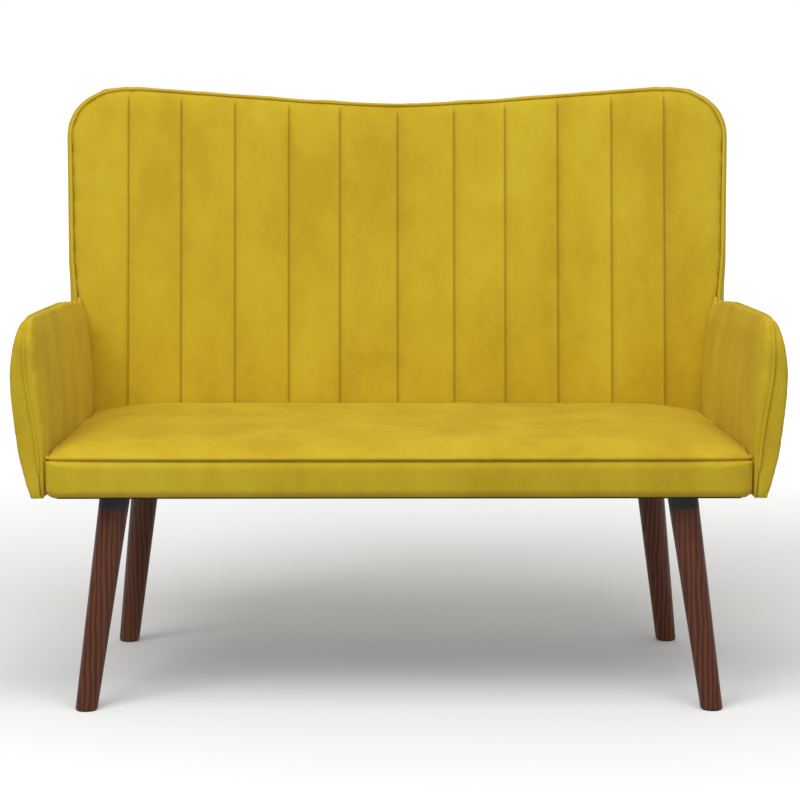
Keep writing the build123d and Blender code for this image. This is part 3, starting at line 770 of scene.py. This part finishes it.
# %% [markdown]
# ## The back's edge band and rear cover
# A band of velvet runs round the edge between two rows of piping, and a plain panel closes the rear
# over its board. Both are cut out of the same skin and get the thickness of velvet with its backing.

# %% Edge band and rear cover
back_band = trimmed(back_bag, "back_edge_band", (front_edge, front_normal), (rear_edge, -front_normal))
work = opened(back_band)
under = [
    f for f in work.faces
    if f.normal.z < -0.7 and abs(f.calc_center_median().x) < 0.565 and f.calc_center_median().z < 0.37
]
bmesh.ops.delete(work, geom=under, context="FACES")
closed(back_band, work)
apply(back_band, "SOLIDIFY", thickness=0.0022, offset=-1)
settle(back_band, "velvet", "back_edge_foam", "back_side_cover", fill=0.5)

rear_cover = trimmed(back_bag, "back_rear_panel", (rear_edge, front_normal))
apply(rear_cover, "DECIMATE", ratio=0.4)
apply(rear_cover, "SOLIDIFY", thickness=0.0018, offset=-1)
settle(rear_cover, "velvet", "back_rear_cover", fill=0.2)

# %% [markdown]
# ## Piping
# The piping is a cord in a bias strip of the same velvet, sewn into each seam. It follows the line
# where the seam's plane crosses the stuffed shape, so it can't leave the cover it closes.

# %% Piping round the back
def kept_stretch(line, keep):
    """The points of a closed line that are kept, in order from one end of the gap to the other."""
    flags = [bool(keep(p)) for p in line]
    start = next(i for i in range(len(line)) if flags[i] and not flags[i - 1])
    turned = [line[(start + i) % len(line)] for i in range(len(line))]
    return [p for p in turned if keep(p)]


def pushed(line, centre, amount):
    """The line moved away from a point."""
    return [p + (p - Vector(centre)).normalized() * amount for p in map(Vector, line)]


back_centre = (0, origin.y + 0.05, 0.70)
edge_line = kept_stretch(back_front_line, lambda p: p.z > 0.612)
front_welt = piping("back_front_piping", even(pushed(edge_line, back_centre, 0.0008), 0.006))
settle(front_welt, "velvet", "back_front_welt")
edge_line = kept_stretch(back_rear_line, lambda p: p.z > frame_bottom + 0.014)
rear_welt = piping("back_rear_piping", even(pushed(edge_line, back_centre, 0.0008), 0.006))
settle(rear_welt, "velvet", "back_rear_welt")
bpy.data.objects.remove(back_bag)

# %% [markdown]
# ## The seat's pad
# The seat is one crowned cushion. It is highest in the middle, rolls down to the piping in front and
# at the sides, and is pressed flat against the back. The crown comes from a smooth curve, and the
# small unevenness from the simulation.

# %% The seat's bag
seat_seam, _ = seam_plane("seat_welt")
seat_seam.z += 0.004
seat_low, seat_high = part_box("seat_foam")
seat_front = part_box("seat_apron_cover")[0].y
seat_front_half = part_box("seat_apron_cover")[1].x
seat_rear_half = 0.558
seat_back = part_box("seat_apron_cover")[1].y


def seat_half(y):
    share = (np.asarray(y) - seat_front) / (origin.y - seat_front)
    return seat_front_half + (seat_rear_half - seat_front_half) * share


seat_pad = copy_of("seat_pad", "seat_foam")
squares(seat_pad, 0.008)
apply(seat_pad, "SMOOTH", factor=0.5, iterations=4)


def seat_freedom(points):
    top = ((points[:, 2] - seat_seam.z - 0.002) / 0.008).clip(0, 1)
    return top


stuff(seat_pad, 4.0, 0.004, seat_freedom)
work = opened(seat_pad)
for offset in (-0.004, -0.002, 0.0, 0.002, 0.005):
    cut(work, (0, 0, seat_seam.z + offset), (0, 0, 1))
closed(seat_pad, work)
apply(seat_pad, "SUBSURF", levels=1, render_levels=1)


def crown(points):
    """Height of the seat's top over its seam."""
    side = (seat_half(points[:, 1]) - np.abs(points[:, 0])).clip(0, None)
    front = (points[:, 1] - seat_front).clip(0, None)
    run = 0.045 + 0.105 * ((points[:, 1] - seat_front) / (origin.y - seat_front)).clip(0, 1)
    across = 1 - (1 - side / run).clip(0, 1) ** 2.3
    along = 1 - (1 - front / 0.115).clip(0, 1) ** 2.6
    return (0.0055 + 0.0175 * across) * along


points = points_of(seat_pad)
above = ((points[:, 2] - seat_seam.z + 0.012) / 0.004).clip(0, 1)
level = seat_seam.z + crown(points)
fine = waves(points, 7, 11) * 0.0012 + waves(points, 22, 12) * 0.0004
up = ((outward(seat_pad)[:, 2]) / 0.5).clip(0, 1)
points[:, 2] += above * up * (0.85 * (level + 0.002 - points[:, 2]) + fine)
edge = seat_half(points[:, 1]) - np.abs(points[:, 0])
spread = 0.0028 * (1 - edge / 0.012).clip(0, 1) * ((points[:, 2] - seat_seam.z + 0.003) / 0.004).clip(0, 1)
spread *= ((points[:, 1] - seat_front - 0.035) / 0.06).clip(0, 1)
points[:, 0] += np.sign(points[:, 0]) * spread
move_to(seat_pad, points)


def in_front(points, normals):
    """1 at the front of the seat, and little where the arms press on its sides."""
    return (1 - (points[:, 1] - seat_front - 0.03) / 0.03).clip(0.15, 1)


# The seam under the piping is drawn in, with a painted shade along it.
sew(seat_pad, (0, 0, seat_seam.z), (0, 0, 1), 0.010, 0.0022, where=in_front, dark=0.0022, strength=0.9)
settle(seat_pad, "velvet", "seat_foam", "seat_top_cover", fill=0.7)

# %% [markdown]
# ## The apron and the seat's sides
# Under the piping the seat has a low padded front with a soft lower edge. At the sides, behind the
# arms, the same velvet is stretched flat over the rails.

# %% Apron
seat_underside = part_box("seat_apron_cover")[0].z
work = bmesh.new()
bmesh.ops.create_cube(work, size=1)
width = 2 * seat_front_half - 0.0035
height = seat_seam.z - seat_underside - 0.003
bmesh.ops.scale(work, vec=(width, 0.0095, height), verts=work.verts)
middle = (0, seat_front + 0.0052, seat_underside + height / 2 + 0.0006)
bmesh.ops.translate(work, vec=middle, verts=work.verts)


def runs_back(edge):
    """Whether an edge runs from the front to the rear."""
    first, second = [v.co for v in edge.verts]
    return abs(first.x - second.x) < 1e-6 and abs(first.z - second.z) < 1e-6


lower_ends = [e for e in work.edges if runs_back(e) and e.verts[0].co.z < seat_underside + 0.01]
bmesh.ops.bevel(
    work, geom=lower_ends, offset=0.012, offset_type="OFFSET", segments=6, profile=0.5,
    affect="EDGES", material=-1,
)
apron = new_piece("seat_apron", work)
squares(apron, 0.0035)
apply(apron, "SMOOTH", factor=0.5, iterations=6)


def apron_freedom(points):
    front = ((seat_front + 0.006 - points[:, 1]) / 0.004).clip(0, 1)
    return 0.15 + 0.85 * front


stuff(apron, 4.0, 0.0022, apron_freedom)
points = points_of(apron)
front = ((seat_front + 0.006 - points[:, 1]) / 0.004).clip(0, 1)
points[:, 1] += waves(points, 14, 21) * 0.0006 * front
over = (points[:, 2] - seat_underside).clip(0, None)
tight = (1 - over / 0.014).clip(0, 1)
points[:, 1] += 0.0072 * (1 - np.sqrt(1 - tight ** 2)) * front
end = ((np.abs(points[:, 0]) - seat_front_half + 0.026) / 0.026).clip(0, 1)
points[:, 2] += 0.006 * end ** 2 * (1 - over / 0.05).clip(0, 1)
move_to(apron, points)
settle(apron, "velvet", "seat_apron_foam", "seat_apron_cover", fill=0.7)

# %% Seat sides
for side, word in ((-1, "left"), (1, "right")):
    work = bmesh.new()
    bmesh.ops.create_grid(work, x_segments=60, y_segments=8, size=0.5)
    seat_side = new_piece(f"{word}_seat_side_cover", work)
    points = points_of(seat_side)
    along = points[:, 0] + 0.5
    up = points[:, 1] + 0.5
    y = seat_front + 0.010 + along * (seat_back - 0.001 - seat_front - 0.010)
    lower = seat_underside + 0.001 + 0.010 * (1 - (y - seat_front - 0.010) / 0.03).clip(0, 1) ** 2
    z = lower + up * (seat_seam.z - 0.001 - lower)
    x = side * (seat_half(y) - 0.0018)
    move_to(seat_side, np.stack([x, y, z], axis=1))
    work = opened(seat_side)
    bmesh.ops.recalc_face_normals(work, faces=work.faces)
    closed(seat_side, work)
    apply(seat_side, "SOLIDIFY", thickness=0.0014, offset=0)
    settle(seat_side, "velvet", "seat_apron_cover")

# %% Piping round the seat
seat_line = [(-seat_half(y), y) for y in np.linspace(seat_back - 0.004, seat_front + 0.014, 60)]
turn = [math.radians(a) for a in range(0, 91, 9)]
corner_centre = seat_front_half - 0.0145
round_corner_points = [
    (-corner_centre - 0.012 * math.cos(a), seat_front + 0.0135 - 0.012 * math.sin(a)) for a in turn
]
left_half = [(x + 0.0015, y) for x, y in seat_line] + round_corner_points
right_half = [(-x, y) for x, y in reversed(left_half)]

def welt_level(y):
    """The piping sinks between the seat and the arms."""
    return seat_seam.z + 0.0015 - 0.0065 * float(np.clip((y - seat_front - 0.040) / 0.06, 0, 1))


seat_welt_line = [Vector((x, y, welt_level(y))) for x, y in left_half + right_half]
seat_welt = piping("seat_piping", even(seat_welt_line, 0.005))
settle(seat_welt, "velvet", "seat_welt")

# %% [markdown]
# ## The arms
# Each arm is a thin bent board, padded on both sides and closed by an inner and an outer cover with
# piping between them. It is widest in front, closes in towards the back and the floor, and its top
# falls towards the back. The two covers are cut from one stuffed shape along the slanted plane of the
# piping. Its top is fitted to the pattern after the simulation, as an upholsterer pulls a cover to size.

# %% One arm, stuffed
arm_parts = ("inner_cover", "outer_cover", "inner_foam", "outer_foam", "board", "batten")
arm_bag = copy_of("arm_bag", *[f"right_arm_{part}" for part in arm_parts])
squares(arm_bag, 0.005)
apply(arm_bag, "SMOOTH", factor=0.5, iterations=4)
move_to(arm_bag, points_of(arm_bag) - outward(arm_bag) * 0.0015)
arm_middle = Vector(points_of(arm_bag).mean(0))


def arm_freedom(points):
    """Free everywhere but at the foot and against the back and the seat."""
    foot = ((points[:, 2] - 0.36) / 0.06).clip(0.2, 1)
    rear = ((-depth_of(points) - 0.002) / 0.02).clip(0, 1)
    return foot * np.maximum(rear, 0.15)


stuff(arm_bag, 4.0, 0.0032, arm_freedom)
arm_seam, arm_across = seam_plane("right_arm_welt")
if arm_across.x < 0:
    arm_across = -arm_across

# %% Fitting the arm's bag to its pattern
pattern_y = (-0.33, -0.31, -0.27, -0.22, -0.10, 0.0, 0.12, 0.26)
pattern_z = (0.636, 0.6475, 0.6498, 0.6492, 0.6463, 0.6435, 0.6335, 0.6175)
line = np.array([p for p in rim(arm_bag, arm_seam, arm_across) if p.z > 0.58])
line = line[np.argsort(line[:, 1])]
points = points_of(arm_bag)
top_wanted = np.interp(points[:, 1], pattern_y, pattern_z)
rise = top_wanted - np.interp(points[:, 1], line[:, 1], line[:, 2])
rise *= ((points[:, 1] + 0.322) / 0.02).clip(0, 1)
points[:, 2] += rise * ((points[:, 2] - 0.575) / 0.05).clip(0, 1)
low_down = (1 - (points[:, 2] - seat_underside) / 0.020).clip(0, 1) ** 2
points[:, 0] -= 0.002 * low_down * ((points[:, 0] - seat_half(points[:, 1]) - 0.004) / 0.02).clip(0, 1)
under = ((-outward(arm_bag)[:, 2] - 0.4) / 0.3).clip(0, 1)
under *= ((seat_underside + 0.006 - points[:, 2]) / 0.002).clip(0, 1)
points[:, 2] += under * (seat_underside + 0.0003 - points[:, 2])
move_to(arm_bag, points)
print(f"arm bag fitted: lifted {rise.min() * 1000:.1f} to {rise.max() * 1000:.1f} mm")
arm_line = rim(arm_bag, arm_seam, arm_across)
work = opened(arm_bag)
for offset in (-0.006, -0.0028, 0.0, 0.0028, 0.006):
    cut(work, arm_seam + arm_across * offset, arm_across)
closed(arm_bag, work)
apply(arm_bag, "SUBSURF", levels=1, render_levels=1)


def mostly_inside(points, normals):
    """The cloth is drawn in on both sides of the piping, but less on the outer one."""
    return np.where((points - np.array(arm_seam)) @ np.array(arm_across) > 0.0004, 0.4, 1.0)


# The seam along the piping is drawn in, with a painted shade along it.
sew(arm_bag, arm_seam, arm_across, 0.010, 0.0026, where=mostly_inside, dark=0.002, strength=0.9)
points = points_of(arm_bag)
fine = waves(points, 8, 31) * 0.0007 + waves(points, 34, 32) * 0.0001
move_to(arm_bag, points + outward(arm_bag) * fine[:, None])
arm_inner = trimmed(arm_bag, "arm_inner_source", (arm_seam, arm_across))
arm_outer = trimmed(arm_bag, "arm_outer_source", (arm_seam, -arm_across))


roll_height = (0.50, 0.546, 0.576, 0.602, 0.612, 0.630)
roll_reach = (0, 0.0030, 0.0058, 0.0080, 0.0115, 0.0185)


def bowed(points):
    """Bows the seam outwards in front, and rolls the inner side outwards at the top of the rear."""
    points = np.array(points)
    tall = np.exp(-(((points[:, 2] - 0.560) / 0.070) ** 2))
    front = (1 - (points[:, 1] - seat_front - 0.03) / 0.06).clip(0, 1)
    across = (points - np.array(arm_seam)) @ np.array(arm_across)
    near = np.exp(-((across / 0.020) ** 2))
    points[:, 0] += 0.0075 * tall * front * near
    rear = ((points[:, 1] + 0.10) / 0.28).clip(0, 1) ** 1.5
    roll = np.interp(points[:, 2], roll_height, roll_reach)
    inner_side = (1 - (points[:, 0] - seat_half(points[:, 1]) - 0.008) / 0.026).clip(0, 1)
    points[:, 0] += roll * rear * inner_side
    return points


for half in (arm_inner, arm_outer):
    move_to(half, bowed(points_of(half)))

# %% Both arms
on_front = kept_stretch(arm_line, lambda p: p.z > 0.366 and depth_of(np.array(p)) < -0.003)
arm_welt_line = even(bowed(pushed(on_front, arm_middle, 0.0008)), 0.005)
for side, word in ((1, "right"), (-1, "left")):
    for source, half, thickness in ((arm_inner, "inner", 0.0024), (arm_outer, "outer", 0.0024)):
        work = opened(source)
        if side < 0:
            bmesh.ops.scale(work, vec=(-1, 1, 1), verts=work.verts)
            bmesh.ops.reverse_faces(work, faces=work.faces)
        mesh = bpy.data.meshes.new(f"{word}_arm_{half}")
        work.to_mesh(mesh)
        work.free()
        pad = bpy.data.objects.new(f"{word}_arm_{half}_pad", mesh)
        scene.collection.objects.link(pad)
        pad.data.materials.append(mustard)
        apply(pad, "SOLIDIFY", thickness=thickness, offset=-1)
        settle(pad, "velvet", f"{word}_arm_{half}_foam", f"{word}_arm_{half}_cover", fill=0.7)
    line = arm_welt_line * np.array((side, 1, 1))
    welt = piping(f"{word}_arm_piping", line)
    settle(welt, "velvet", f"{word}_arm_welt")
for source in (arm_bag, arm_inner, arm_outer):
    bpy.data.objects.remove(source)

# %% [markdown]
# ## Under the seat
# A black spun cloth keeps dust out of the frame. It lies flat round its edge and hangs a few
# millimetres between the rails.

# %% Dust cover
cloth_low, cloth_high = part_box("dust_cover")
work = bmesh.new()
bmesh.ops.create_grid(work, x_segments=120, y_segments=54, size=0.5)
dust_sheet = new_piece("dust_sheet", work, finishes["dust_cloth"])
points = points_of(dust_sheet)
share = points[:, :2] + 0.5
y = cloth_low.y + 0.003 + share[:, 1] * (cloth_high.y - cloth_low.y - 0.004)
corner = (1 - (y - cloth_low.y - 0.003) / 0.035).clip(0, 1) ** 2
x = (share[:, 0] * 2 - 1) * (seat_half(y) - 0.006 - 0.016 * corner)
bays = np.sin(np.abs(x) / seat_half(y) * math.pi) ** 2
belly = (np.sin(share[:, 1] * math.pi)).clip(0, 1) ** 0.7
z = cloth_low.z + 0.0006 - 0.004 * bays * belly
flat = np.stack([x, y, z], axis=1)
flat[:, 2] += waves(flat, 16, 41) * 0.0006 * belly
move_to(dust_sheet, flat)
apply(dust_sheet, "SOLIDIFY", thickness=0.0006, offset=0)
settle(dust_sheet, "dust_cloth", "dust_cover")

# %% [markdown]
# ## Floor and light
# A pale floor carries on far behind the settee and glows faintly with distance, so it ends in white.
# It is hidden from bounced light, because a real studio's dark side keeps the apron deeper than the
# seat. The surround is even and dim, but looks white behind the settee. Three large soft lamps give the
# shape: the main one high on the left in front, one overhead, and a weak one on the right.

# %% Floor
work = bmesh.new()
bmesh.ops.create_grid(work, x_segments=2, y_segments=2, size=60)
paper = Finish("pale_floor")
drift = paper.clouds(paper.place(), 2.0, 2.0)
paper.surface(Base_Color=paper.mix(drift, (0.92, 0.92, 0.92, 1), (0.95, 0.95, 0.95, 1)))
paper.surface(Roughness=drift * 0.1 + 0.8)
parts = [paper.add("ShaderNodeSeparateXYZ", None, {0: paper.place()}, output=axis) for axis in (0, 1)]
away = (parts[0] ** 2 + parts[1] ** 2) ** 0.5
glow = paper.mix(paper.ramp(away, 0.5, 4.0), (0.08, 0.08, 0.08, 1), (0.75, 0.75, 0.75, 1))
paper.surface(Emission_Color=glow, Emission_Strength=1.0)
paper.surface(Specular_IOR_Level=0.1)
floor = new_piece("floor", work, paper.material)
floor.visible_diffuse = False

# %% Light
world = bpy.data.worlds.new("surround")
scene.world = world
world.use_nodes = True
world.node_tree.nodes["Background"].inputs["Color"].default_value = (1.0, 1.0, 1.0, 1)
backdrop = world.node_tree.nodes.new("ShaderNodeBackground")
backdrop.inputs["Color"].default_value = (1.0, 1.0, 1.0, 1)
world.node_tree.nodes["Background"].inputs["Strength"].default_value = 0.42
choice = world.node_tree.nodes.new("ShaderNodeMixShader")
seen = world.node_tree.nodes.new("ShaderNodeLightPath")
join = world.node_tree.links.new
join(seen.outputs["Is Camera Ray"], choice.inputs[0])
join(world.node_tree.nodes["Background"].outputs[0], choice.inputs[1])
join(backdrop.outputs[0], choice.inputs[2])
join(choice.outputs[0], world.node_tree.nodes["World Output"].inputs["Surface"])


def lamp(name, place, target, size, power):
    """A square soft box that looks at a point."""
    data = bpy.data.lights.new(name, "AREA")
    data.shape = "RECTANGLE"
    data.size, data.size_y = size
    data.energy = power
    holder = bpy.data.objects.new(name, data)
    holder.location = place
    holder.rotation_euler = (Vector(target) - Vector(place)).to_track_quat("-Z", "Y").to_euler()
    scene.collection.objects.link(holder)


lamp("main", (-2.2, -2.9, 3.8), (0, 0, 0.6), (2.6, 2.0), 84)
lamp("overhead", (0.4, -1.5, 4.4), (0, 0, 0.6), (3.0, 2.4), 66)
lamp("fill", (1.9, -4.0, 2.2), (0, 0, 0.6), (2.4, 2.4), 18)
scene.view_settings.view_transform = "Standard"
